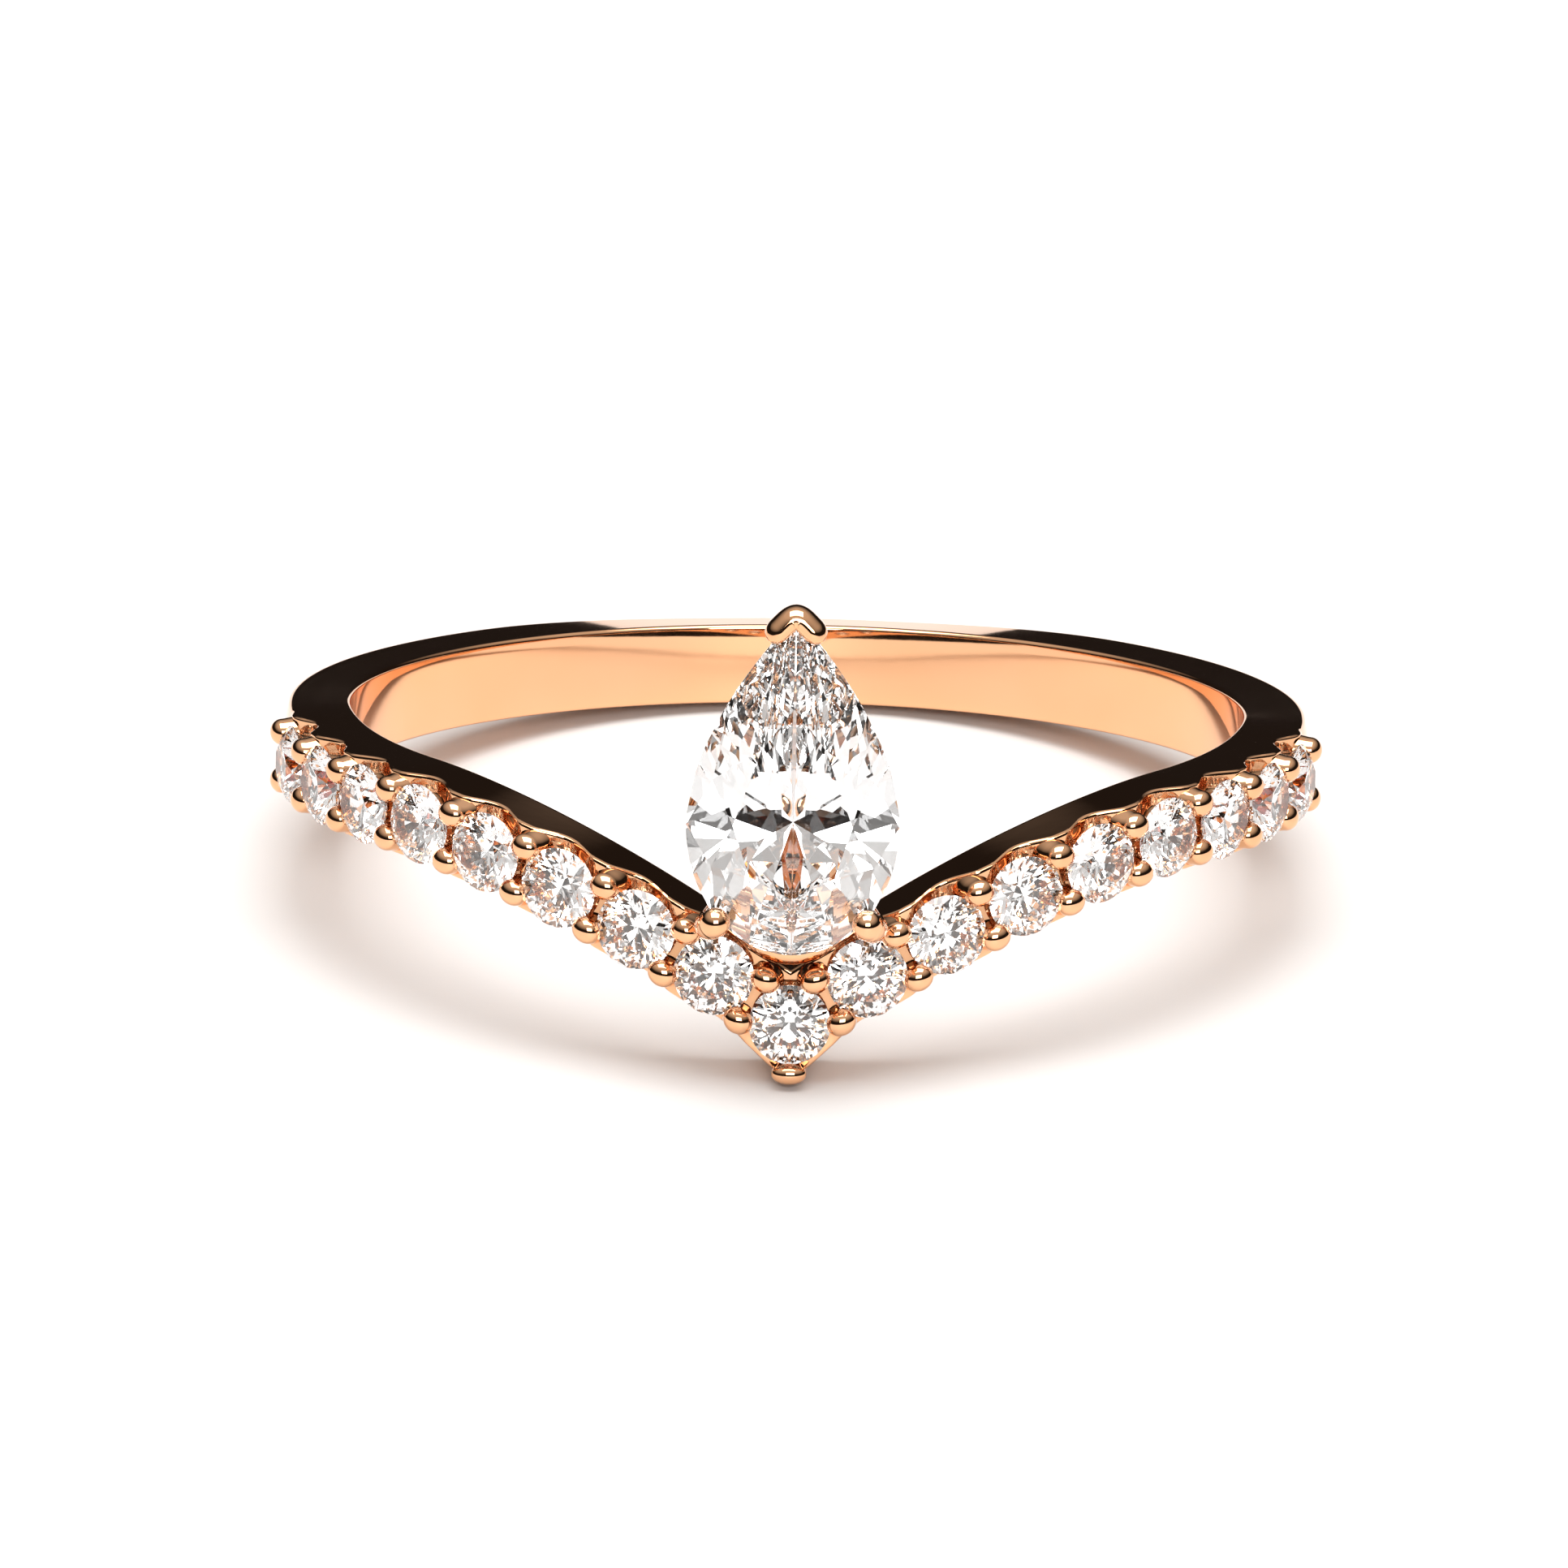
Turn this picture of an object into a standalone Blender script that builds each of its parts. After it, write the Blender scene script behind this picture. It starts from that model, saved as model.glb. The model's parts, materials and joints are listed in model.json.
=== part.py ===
"""Rose gold chevron engagement ring with a pear centre stone and a row of round brilliants.

Everything is drawn in the ring's own frame, in millimetres: the finger's axis is +Z, the front of
the ring is at -Y, and the point of the pear is up. The whole ring hangs on one empty, ring_axis,
which scales it to metres and leans it back until it rests on the point of its chevron and on the
back of its shank, with its lowest points at Z = 0.
"""

import math

import bmesh
import bpy
from mathutils import Matrix, Vector

MM = 0.001
SHARP_EDGE = math.radians(40)
SETTLE_ROUNDS = 4

# Shank: a US size 7 bore, and a band that dips to a point at the front.
BORE_RADIUS = 8.675
SHANK_RADIUS = 9.975
SHANK_WIDTH = 1.62
EDGE_SOFTENING = 0.08
BACK_DOME = 0.10
FLAT_SHARE = 0.55
BACK_FACE_FALL = math.radians(4.5)
BACK_FACE_ANGLES = (math.radians(140), math.radians(172))
SHOULDER_RISE = 0.45
CHEVRON_DROP = 3.10
CHEVRON_REACH = math.radians(52)
SHOULDER_END = math.radians(76)
SHOULDER_EASE = 0.10
POINT_DROP = 0.17
POINT_REACH = (0.2, 1.3)
BACK_STEPS = 20

# Row of round brilliants: one at the point of the chevron and eight on each arm.
STONES_PER_ARM = 8
PITCH = 1.705
MELEE_RADIUS = 0.765
MELEE_GIRDLE_RADIUS = 10.10
MELEE_GIRDLE = 0.03
MELEE_CROWN = 0.22
MELEE_PAVILION = 0.64
STONE_GAP = 0.02
MELEE_TABLE = 0.56
SCALLOP_HALF_CHORD = 0.72
SCALLOP_DEPTH = 0.32
POINT_SCALLOP = 0.08
SCALLOP_POWER = 1.4
SCALLOP_STEPS = 8
SEAT_FLAT_SHARE = 0.62
LIGHT_HOLE_RADIUS = 0.35
CUTTER_SIDES = 16
CUTTER_PAST_BORE = 0.4
CUTTER_PAST_GIRDLE = 0.5

# A prong stands on a flared foot, is waisted at the girdles and ends in a bead over the crowns.
PRONG_OFFSET = 0.475
PRONG_RADIUS = 0.27
PRONG_SIDES = 8
PRONG_PROFILE = (
    (1.04, 9.40),
    (1.00, 9.85),
    (0.74, 10.04),
    (0.74, 10.14),
    (1.00, 10.20),
    (0.92, 10.28),
    (0.45, 10.37),
)
POINT_CLAW_WIDTH = 0.66
POINT_CLAW_HEIGHT = 0.40
POINT_CLAW_SIDES = 12

# Facets that both cuts share, as shares of the stone's reach and of its crown or pavilion.
STAR_EDGE = 1.02
STAR_HEIGHT = 0.56
HALVES_REACH = 0.24
HALVES_DEPTH = 0.77

# Pear stone, measured from the centre of its round end.
PEAR_HALF_WIDTH = 1.99
PEAR_TIP = 3.94
PEAR_HEEL = 2.43
PEAR_FLARE = 1.8
PEAR_RISE = 1.25
PEAR_GIRDLE = 0.06
PEAR_CROWN = 0.55
PEAR_PAVILION = 1.72
PEAR_TABLE = 0.56
PEAR_SEAT = Vector((0.0, -10.90, 1.372))
PEAR_LEAN = math.radians(5)

# Head: two rails under the stone, a V-shaped claw at its tip and two round claws at its heel.
GALLERY_HALF_WIDTH = 1.45
GALLERY_TIP = 2.90
GALLERY_DEPTH = 1.15
GALLERY_WIRE = 0.25
HEEL_ROUNDS = 20
RAIL_POINTS = 40
WIRE_SIDES = 8
STEEP_TO_STONE = 0.8
SEAT_RAIL_DEPTH = 0.40
SEAT_RAIL_WIRE = 0.11
SEAT_RAIL_GAP = 0.02
CLAW_ANGLE = math.radians(46.5)
CLAW_RADIUS = 0.24
V_CLAW_REACH = 0.80
V_CLAW_BEND = 0.45
V_CLAW_LIP = 0.05
V_CLAW_TAPER = 0.6
V_CLAW_POST = 0.15
POST_TOP = (0.10, 0.20)

# A round claw's path: distance outside the girdle, depth below it, and share of its radius.
CLAW_PATH = (
    (0.10, 0.86, 0.80),
    (0.20, 0.40, 0.95),
    (0.29, 0.05, 1.0),
    (0.28, -0.14, 1.0),
    (0.19, -0.30, 0.98),
    (0.06, -0.41, 0.88),
    (-0.05, -0.47, 0.66),
    (-0.12, -0.50, 0.34),
)

# The V claw's section: distance outside the girdle and depth below it.
V_CLAW_SECTION = (
    (0.03, 0.55),
    (0.24, 0.50),
    (0.30, -0.10),
    (0.22, -0.34),
    (0.04, -0.42),
    (-0.13, -0.34),
    (-0.15, -0.20),
    (0.03, -0.07),
)

ROSE_GOLD = (0.86, 0.50, 0.34)
DIAMOND = (0.97, 0.97, 0.98)


def clear_scene():
    for obj in list(bpy.data.objects):
        bpy.data.objects.remove(obj, do_unlink=True)


def make_material(name, color, metallic, roughness, transmission=0.0, ior=1.5):
    material = bpy.data.materials.new(name)
    material.use_nodes = True
    shader = material.node_tree.nodes["Principled BSDF"]
    shader.inputs["Base Color"].default_value = (*color, 1.0)
    shader.inputs["Metallic"].default_value = metallic
    shader.inputs["Roughness"].default_value = roughness
    shader.inputs["Transmission Weight"].default_value = transmission
    shader.inputs["IOR"].default_value = ior
    return material


def add_mesh(name, bm, material, parent, smooth=True):
    """A named object from a bmesh in ring millimetres, hung on the ring's own empty."""
    bmesh.ops.recalc_face_normals(bm, faces=bm.faces)
    mesh = bpy.data.meshes.new(name)
    bm.to_mesh(mesh)
    bm.free()
    if smooth:
        mesh.shade_smooth()
        mesh.set_sharp_from_angle(angle=SHARP_EDGE)
    mesh.materials.append(material)
    obj = bpy.data.objects.new(name, mesh)
    bpy.context.scene.collection.objects.link(obj)
    obj.parent = parent
    return obj


def add_loft(bm, sections, closed):
    """Skin a list of point rings; an open loft is capped at both ends."""
    rings = [[bm.verts.new(point) for point in section] for section in sections]
    count = len(rings[0])
    pairs = list(zip(rings, rings[1:]))
    if closed:
        pairs.append((rings[-1], rings[0]))
    for first, second in pairs:
        for i in range(count):
            j = (i + 1) % count
            bm.faces.new((first[i], first[j], second[j], second[i]))
    if not closed:
        bm.faces.new(rings[0])
        bm.faces.new(list(reversed(rings[-1])))


def add_lathe(bm, profile, frame, sides, squash=1.0):
    """Turn a profile of (radius, height) pairs about the frame's +Z; zero radius makes a pole."""
    rings = []
    for radius, height in profile:
        if radius == 0.0:
            rings.append([bm.verts.new(frame @ Vector((0.0, 0.0, height)))])
            continue
        ring = []
        for i in range(sides):
            turn = 2 * math.pi * (i + 0.5) / sides
            point = Vector((radius * math.cos(turn), squash * radius * math.sin(turn), height))
            ring.append(bm.verts.new(frame @ point))
        rings.append(ring)
    for first, second in zip(rings, rings[1:]):
        for i in range(sides):
            j = (i + 1) % sides
            corners = [first[i % len(first)], first[j % len(first)]]
            corners += [second[j % len(second)], second[i % len(second)]]
            bm.faces.new(list(dict.fromkeys(corners)))
    for ring in (rings[0], rings[-1]):
        if len(ring) > 1:
            bm.faces.new(ring)


# The band's centreline -----------------------------------------------------------------------


def smooth_step(low, high, value):
    """From 0 to 1 between two values, level at both."""
    share = min(1.0, max(0.0, (value - low) / (high - low)))
    return share * share * (3 - 2 * share)


def ease_down(share):
    """From 1 to 0: the slope sets in quickly, then fades evenly."""
    soft = SHOULDER_EASE
    whole = 1 / 2 - soft / 2 + soft**2 / 6
    if share < soft:
        fallen = (share**2 / 2 - share**3 / 3) / soft
    else:
        fallen = share - share**2 / 2 - soft / 2 + soft**2 / 6
    return 1 - fallen / whole


def centre_height(angle):
    """Height of the band's middle, at an angle about the finger from the front."""
    turn = abs(angle)
    if turn < CHEVRON_REACH:
        return SHOULDER_RISE - CHEVRON_DROP * (1 - turn / CHEVRON_REACH) ** 2
    if turn < SHOULDER_END:
        return SHOULDER_RISE
    return SHOULDER_RISE * ease_down((turn - SHOULDER_END) / (math.pi - SHOULDER_END))


def centre_slope(angle):
    """Rise of the centreline per millimetre around the row, never negative at the point."""
    step = 1e-4
    start = max(abs(angle), step)
    rise = (centre_height(start + step) - centre_height(start - step)) / (2 * step)
    return rise / MELEE_GIRDLE_RADIUS


def angle_at(distance):
    """Angle reached by walking a distance along the row from the point of the chevron."""
    step = 1e-3
    angle = 0.0
    walked = 0.0
    while walked < abs(distance):
        walked += step * MELEE_GIRDLE_RADIUS * math.hypot(1, centre_slope(angle + step / 2))
        angle += step
    overshoot = walked - abs(distance)
    angle -= overshoot / (MELEE_GIRDLE_RADIUS * math.hypot(1, centre_slope(angle)))
    return math.copysign(angle, distance)


def around(angle, radius, height):
    return Vector((radius * math.sin(angle), -radius * math.cos(angle), height))


def row_frame(distance, across=0.0):
    """Frame on the row: +X along it, +Y across it towards the pear, +Z away from the finger."""
    angle = angle_at(distance)
    outward = Vector((math.sin(angle), -math.cos(angle), 0.0))
    slope = centre_slope(angle) * (0 if distance == 0 else math.copysign(1, distance))
    along = Vector((math.cos(angle), math.sin(angle), slope)).normalized()
    side = outward.cross(along)
    place = around(angle, MELEE_GIRDLE_RADIUS, centre_height(angle))
    place += side * across
    frame = Matrix((along, side, outward)).transposed().to_4x4()
    return Matrix.Translation(place) @ frame


# Shank -----------------------------------------------------------------------------------------


def half_height(angle):
    """Half the band's vertical width, which keeps its true width on the sloping arms."""
    return SHANK_WIDTH / 2 * math.hypot(1, centre_slope(angle))


def plain_section(angle):
    """A section without stones, whose upper face falls outwards at the back."""
    middle = centre_height(angle)
    half = half_height(angle)
    fall = BACK_FACE_FALL * smooth_step(*BACK_FACE_ANGLES, abs(angle))
    above = half - math.tan(fall) * (SHANK_RADIUS - BORE_RADIUS)
    profile = [
        (BORE_RADIUS, -half + EDGE_SOFTENING),
        (BORE_RADIUS + EDGE_SOFTENING, -half),
        (SHANK_RADIUS - BACK_DOME, -half),
        (SHANK_RADIUS, -FLAT_SHARE * half),
        (SHANK_RADIUS, FLAT_SHARE * half),
        (SHANK_RADIUS - BACK_DOME, above),
        (BORE_RADIUS + EDGE_SOFTENING, half),
        (BORE_RADIUS, half - EDGE_SOFTENING),
    ]
    return [around(angle, radius, middle + height) for radius, height in profile]


def scalloped_section(distance):
    """A section in the stone row, whose outer edges dip beside each stone.

    Its lower outer edge drops to a sharper corner below the point stone.
    """
    angle = angle_at(distance)
    middle = centre_height(angle)
    half = half_height(angle)
    below = half + POINT_DROP * (1 - smooth_step(*POINT_REACH, abs(distance)))
    stone = round(distance / PITCH)
    beside = abs(distance - stone * PITCH)
    depth = SCALLOP_DEPTH if stone else POINT_SCALLOP
    edge = SHANK_RADIUS
    if beside < SCALLOP_HALF_CHORD:
        edge -= depth * math.cos(math.pi / 2 * beside / SCALLOP_HALF_CHORD) ** SCALLOP_POWER
    profile = [
        (BORE_RADIUS, -half + EDGE_SOFTENING),
        (BORE_RADIUS + EDGE_SOFTENING, -half),
        (edge, -below),
        (SHANK_RADIUS, -SEAT_FLAT_SHARE * half),
        (SHANK_RADIUS, SEAT_FLAT_SHARE * half),
        (edge, half),
        (BORE_RADIUS + EDGE_SOFTENING, half),
        (BORE_RADIUS, half - EDGE_SOFTENING),
    ]
    return [around(angle, radius, middle + height) for radius, height in profile]


def shank_blank():
    """The band before its seats are drilled, as one closed loft around the finger."""
    steps = int((STONES_PER_ARM + 0.5) * SCALLOP_STEPS)
    row = [scalloped_section(i * PITCH / SCALLOP_STEPS) for i in range(-steps, steps + 1)]
    row_end = angle_at((STONES_PER_ARM + 0.5) * PITCH)
    back = 2 * (math.pi - row_end)
    plain = []
    for i in range(1, 2 * BACK_STEPS):
        angle = row_end + back * i / (2 * BACK_STEPS)
        if angle > math.pi:
            angle -= 2 * math.pi
        plain.append(plain_section(angle))
    bm = bmesh.new()
    add_loft(bm, row + plain, closed=True)
    return bm


def seat_cutters():
    """A conical seat for each small stone, with a light hole through to the finger."""
    radius = MELEE_RADIUS + STONE_GAP
    spread = radius / (MELEE_PAVILION + STONE_GAP)
    hole_meets_cone = LIGHT_HOLE_RADIUS / spread - MELEE_PAVILION - STONE_GAP
    profile = [
        (LIGHT_HOLE_RADIUS, BORE_RADIUS - MELEE_GIRDLE_RADIUS - CUTTER_PAST_BORE),
        (LIGHT_HOLE_RADIUS, hole_meets_cone),
        (radius, 0.0),
        (radius, CUTTER_PAST_GIRDLE),
    ]
    bm = bmesh.new()
    for i in range(-STONES_PER_ARM, STONES_PER_ARM + 1):
        add_lathe(bm, profile, row_frame(i * PITCH), CUTTER_SIDES)
    return bm


def prongs():
    """The shared prongs between neighbouring stones, and the broad claw under the point."""
    levels = [(share, level - MELEE_GIRDLE_RADIUS) for share, level in PRONG_PROFILE]
    narrow = [(PRONG_RADIUS * share, level) for share, level in levels]
    broad = [(POINT_CLAW_WIDTH / 2 * share, level) for share, level in levels]
    bm = bmesh.new()
    for i in range(-STONES_PER_ARM - 1, STONES_PER_ARM + 1):
        for side in (-1, 1):
            frame = row_frame((i + 0.5) * PITCH, side * PRONG_OFFSET)
            add_lathe(bm, narrow, frame, PRONG_SIDES)
    below = -(MELEE_RADIUS - STONE_GAP + POINT_CLAW_HEIGHT / 2)
    squash = POINT_CLAW_HEIGHT / POINT_CLAW_WIDTH
    add_lathe(bm, broad, row_frame(0.0, below), POINT_CLAW_SIDES, squash)
    return bm


def cut_with(target, cutter, operation):
    """A Boolean on the target; its cutter stays in the file, hidden from renders."""
    cutter.hide_render = True
    cutter.display_type = "WIRE"
    modifier = target.modifiers.new(cutter.name, "BOOLEAN")
    modifier.operation = operation
    modifier.solver = "EXACT"
    modifier.object = cutter


def build_shank(gold, parent):
    shank = add_mesh("shank", shank_blank(), gold, parent)
    seats = add_mesh("seat_cutters", seat_cutters(), gold, parent)
    cut_with(shank, seats, "DIFFERENCE")
    rods = add_mesh("prong_blanks", prongs(), gold, parent)
    cut_with(shank, rods, "UNION")
    return shank


# Stones ----------------------------------------------------------------------------------------


def brilliant(girdle_point, table_scale, heights, splits):
    """A brilliant cut: a table, stars, kites and halves over an outline given by an angle.

    girdle_point gives the outline in the girdle's plane, splits is the number of girdle
    points for each of the sixteen halves, and heights are (crown, girdle, pavilion).
    """
    crown, girdle, pavilion = heights
    bm = bmesh.new()

    def ring(scale, height, shift, count):
        turns = [(i + shift) * 2 * math.pi / count for i in range(count)]
        flat = [girdle_point(turn) * scale for turn in turns]
        return [bm.verts.new((point.x, point.y, height)) for point in flat]

    table = ring(table_scale, girdle / 2 + crown, 0.0, 8)
    stars = ring((table_scale + STAR_EDGE) / 2, girdle / 2 + STAR_HEIGHT * crown, 0.5, 8)
    count = 16 * splits
    upper = ring(1.0, girdle / 2, 0.0, count)
    lower = ring(1.0, -girdle / 2, 0.0, count)
    halves = ring(HALVES_REACH, -girdle / 2 - HALVES_DEPTH * pavilion, 0.5, 8)
    point = bm.verts.new((0.0, 0.0, -girdle / 2 - pavilion))
    bm.faces.new(table)
    for i in range(8):
        after = (i + 1) % 8
        corner = 2 * splits * i
        bm.faces.new((table[i], table[after], stars[i]))
        bm.faces.new((table[i], stars[i - 1], upper[corner], stars[i]))
        bm.faces.new((point, halves[i - 1], lower[corner], halves[i]))
        for j in range(corner, corner + 2 * splits):
            following = (j + 1) % count
            bm.faces.new((stars[i], upper[j], upper[following]))
            bm.faces.new((halves[i], lower[following], lower[j]))
    for j in range(count):
        following = (j + 1) % count
        bm.faces.new((upper[j], lower[j], lower[following], upper[following]))
    return bm


def round_outline(turn):
    return Vector((MELEE_RADIUS * math.cos(turn), MELEE_RADIUS * math.sin(turn)))


def pear_outline(turn, half_width=PEAR_HALF_WIDTH, tip=PEAR_TIP, heel=PEAR_HEEL):
    """Pear outline about the centre of its round end; a quarter turn is its tip."""
    turn = turn % (2 * math.pi)
    if turn > math.pi:
        return Vector((half_width * math.cos(turn), heel * math.sin(turn)))
    side = math.copysign(1.0, math.cos(turn))
    rise = math.sin(turn) ** PEAR_RISE
    if abs(turn - math.pi / 2) < 1e-6:
        return Vector((0.0, tip))
    return Vector((side * half_width * (1 - rise**PEAR_FLARE), tip * rise))


def pear_frame():
    """Frame of the pear: +X right, +Y to its tip, +Z out of its table."""
    facing = Matrix.Rotation(math.pi / 2 - PEAR_LEAN, 4, "X")
    return Matrix.Translation(PEAR_SEAT) @ facing


def build_pear(stone, parent):
    heights = (PEAR_CROWN, PEAR_GIRDLE, PEAR_PAVILION)
    bm = brilliant(pear_outline, PEAR_TABLE, heights, 2)
    bm.transform(pear_frame())
    return add_mesh("pear_centre_stone", bm, stone, parent, smooth=False)


def build_melee(stone, parent):
    """Seventeen round brilliants that share one mesh, numbered out from the point."""
    heights = (MELEE_CROWN, MELEE_GIRDLE, MELEE_PAVILION)
    bm = brilliant(round_outline, MELEE_TABLE, heights, 1)
    pattern = add_mesh("melee_point", bm, stone, parent, smooth=False)
    pattern.matrix_local = row_frame(0.0)
    for side, sign in (("left", -1), ("right", 1)):
        for i in range(1, STONES_PER_ARM + 1):
            melee = bpy.data.objects.new(f"melee_{side}_{i}", pattern.data)
            bpy.context.scene.collection.objects.link(melee)
            melee.parent = parent
            melee.matrix_local = row_frame(sign * i * PITCH)


# Head ------------------------------------------------------------------------------------------


def in_pear(x, y, depth):
    """A ring point from the pear's plane, at a depth below the middle of its girdle."""
    return pear_frame() @ Vector((x, y, -depth))


def wire(name, points, radii, closed, material, parent):
    """A round wire through points, as a skinned tube whose ends are flat."""
    sections = []
    count = len(points)
    normal = pear_frame().to_3x3() @ Vector((0.0, 0.0, 1.0))
    for i, point in enumerate(points):
        before = points[i - 1] if closed or i else point
        after = points[(i + 1) % count] if closed or i < count - 1 else point
        along = (after - before).normalized()
        reference = normal if abs(along.dot(normal)) < STEEP_TO_STONE else Vector((1.0, 0.0, 0.0))
        side = along.cross(reference).normalized()
        up = side.cross(along)
        ring = []
        for k in range(WIRE_SIDES):
            turn = 2 * math.pi * (k + 0.5) / WIRE_SIDES
            ring.append(point + radii[i] * (math.cos(turn) * side + math.sin(turn) * up))
        sections.append(ring)
    bm = bmesh.new()
    add_loft(bm, sections, closed)
    return add_mesh(name, bm, material, parent)


def rail(name, half_width, tip, heel, depth, radius, gold, parent):
    points = []
    for i in range(RAIL_POINTS):
        turn = 2 * math.pi * (i + 0.5) / RAIL_POINTS
        flat = pear_outline(turn, half_width, tip, heel)
        points.append(in_pear(flat.x, flat.y, depth))
    return wire(name, points, [radius] * RAIL_POINTS, True, gold, parent)


def gallery_heel():
    """How far the gallery rail drops to lie in the notch of the chevron, touching both arms."""
    slope = centre_slope(0.0)
    notch = centre_height(0.0) + half_height(0.0)
    room = PEAR_SEAT.z - notch
    steep = math.hypot(1, slope)
    heel = room
    for _ in range(HEEL_ROUNDS):
        bend = GALLERY_HALF_WIDTH**2 / heel
        clearance = (bend + GALLERY_WIRE + STONE_GAP) * steep - bend
        heel = room - clearance
    return heel


def under_stone(reach):
    """Reach of the seat rail's middle where it just clears the pavilion below a girdle's reach."""
    inside = reach * (1 - (SEAT_RAIL_DEPTH - PEAR_GIRDLE / 2) / PEAR_PAVILION)
    return inside + (SEAT_RAIL_WIRE + SEAT_RAIL_GAP) * math.hypot(1, reach / PEAR_PAVILION)


def build_rails(gold, parent):
    rail(
        "gallery_rail",
        GALLERY_HALF_WIDTH,
        GALLERY_TIP,
        gallery_heel(),
        GALLERY_DEPTH,
        GALLERY_WIRE,
        gold,
        parent,
    )
    rail(
        "seat_rail",
        under_stone(PEAR_HALF_WIDTH),
        under_stone(PEAR_TIP),
        under_stone(PEAR_HEEL),
        SEAT_RAIL_DEPTH,
        SEAT_RAIL_WIRE,
        gold,
        parent,
    )


def build_round_claw(name, sign, gold, parent):
    """A claw that climbs past the girdle and bends in over the crown."""
    edge = Vector((PEAR_HALF_WIDTH * math.cos(CLAW_ANGLE), -PEAR_HEEL * math.sin(CLAW_ANGLE)))
    out = Vector((math.cos(CLAW_ANGLE) / PEAR_HALF_WIDTH, -math.sin(CLAW_ANGLE) / PEAR_HEEL))
    out.normalize()
    points = []
    radii = []
    for offset, depth, swell in CLAW_PATH:
        flat = edge + out * offset
        points.append(in_pear(sign * flat.x, flat.y, depth))
        radii.append(CLAW_RADIUS * swell)
    return wire(name, points, radii, False, gold, parent)


def build_v_claw(gold, parent):
    """An angled cap around the pear's tip on a post that stands on the gallery rail."""
    steep = PEAR_HALF_WIDTH * PEAR_FLARE / PEAR_TIP
    leg = Vector((steep, -1.0)).normalized()
    out = Vector((-leg.y, leg.x))
    stations = [(0, 0.0)]
    for reach in (V_CLAW_BEND, V_CLAW_REACH):
        stations = [(-1, reach), *stations, (1, reach)]
    sections = []
    for sign, reach in stations:
        taper = 1.0 if reach < V_CLAW_REACH else V_CLAW_TAPER
        ring = []
        for offset, depth in V_CLAW_SECTION:
            if sign == 0:
                ring.append(in_pear(0.0, PEAR_TIP + offset, depth))
                continue
            thin = min(offset, V_CLAW_LIP) + max(0.0, offset - V_CLAW_LIP) * taper
            flat = Vector((0.0, PEAR_TIP)) + leg * reach + out * thin
            ring.append(in_pear(sign * flat.x, flat.y, depth))
        sections.append(ring)
    bm = bmesh.new()
    add_loft(bm, sections, closed=False)
    cap = add_mesh("v_claw", bm, gold, parent)
    rail_tip = in_pear(0.0, GALLERY_TIP, GALLERY_DEPTH)
    head = in_pear(0.0, PEAR_TIP + POST_TOP[0], POST_TOP[1])
    foot = rail_tip + (head - rail_tip).normalized() * (GALLERY_WIRE + STONE_GAP)
    radii = [V_CLAW_POST] * 2
    post = wire("v_claw_post", [foot, head], radii, False, gold, parent)
    cut_with(cap, post, "UNION")
    return cap


# Assembly --------------------------------------------------------------------------------------


def world_points():
    """World positions of every point of every visible piece."""
    bpy.context.view_layer.update()
    graph = bpy.context.evaluated_depsgraph_get()
    points = []
    for obj in bpy.context.scene.objects:
        if obj.type != "MESH" or obj.hide_render:
            continue
        shape = obj.evaluated_get(graph)
        points += [shape.matrix_world @ vertex.co for vertex in shape.data.vertices]
    return points


def settle(rig):
    """Lean the ring back until front and back touch Z = 0, and centre it on the origin."""
    for _ in range(SETTLE_ROUNDS):
        points = world_points()
        front = min((p for p in points if p.y < 0), key=lambda p: p.z)
        back = min((p for p in points if p.y > 0), key=lambda p: p.z)
        rig.rotation_euler.x -= math.atan2(back.z - front.z, back.y - front.y)
    points = world_points()
    for axis in (0, 1):
        ends = [p[axis] for p in points]
        rig.location[axis] -= (max(ends) + min(ends)) / 2
    rig.location.z -= min(p.z for p in points)


def build_ring():
    clear_scene()
    gold = make_material("rose_gold", ROSE_GOLD, 1.0, 0.12)
    stone = make_material("diamond", DIAMOND, 0.0, 0.0, transmission=1.0, ior=2.4)
    rig = bpy.data.objects.new("ring_axis", None)
    bpy.context.scene.collection.objects.link(rig)
    rig.scale = (MM, MM, MM)
    build_shank(gold, rig)
    build_melee(stone, rig)
    build_pear(stone, rig)
    build_rails(gold, rig)
    build_round_claw("claw_left", -1, gold, rig)
    build_round_claw("claw_right", 1, gold, rig)
    build_v_claw(gold, rig)
    settle(rig)


build_ring()
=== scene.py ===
"""The looks of the chevron engagement ring: polished rose gold, cut stones, studio and camera.

Shapes are drawn in the ring's own millimetres (finger's axis +Z, front at -Y), as the CAD part is,
and set into the frame with the lean that the record's back face gives.
"""
import json
import math

import bmesh
import bpy
import numpy as np
from mathutils import Matrix, Vector


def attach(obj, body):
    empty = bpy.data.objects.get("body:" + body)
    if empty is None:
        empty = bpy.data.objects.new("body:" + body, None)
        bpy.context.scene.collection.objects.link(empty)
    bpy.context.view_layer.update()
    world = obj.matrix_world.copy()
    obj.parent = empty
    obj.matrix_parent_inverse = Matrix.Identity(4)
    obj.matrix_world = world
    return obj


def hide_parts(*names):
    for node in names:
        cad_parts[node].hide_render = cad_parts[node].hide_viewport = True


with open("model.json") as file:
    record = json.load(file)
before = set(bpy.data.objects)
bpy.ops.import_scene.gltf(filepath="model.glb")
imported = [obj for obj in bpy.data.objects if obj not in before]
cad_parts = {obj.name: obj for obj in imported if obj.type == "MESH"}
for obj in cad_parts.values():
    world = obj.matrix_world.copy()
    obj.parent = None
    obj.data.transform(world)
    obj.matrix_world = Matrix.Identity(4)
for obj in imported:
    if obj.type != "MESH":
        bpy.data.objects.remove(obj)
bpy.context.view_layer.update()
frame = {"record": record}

MM = 0.001

# Angles over which an edge stays sharp, in degrees.
SHARP_ON_SHANK = 35
SHARP_ON_RAILS = 50
SHARP_ON_CLAWS = 60

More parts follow.
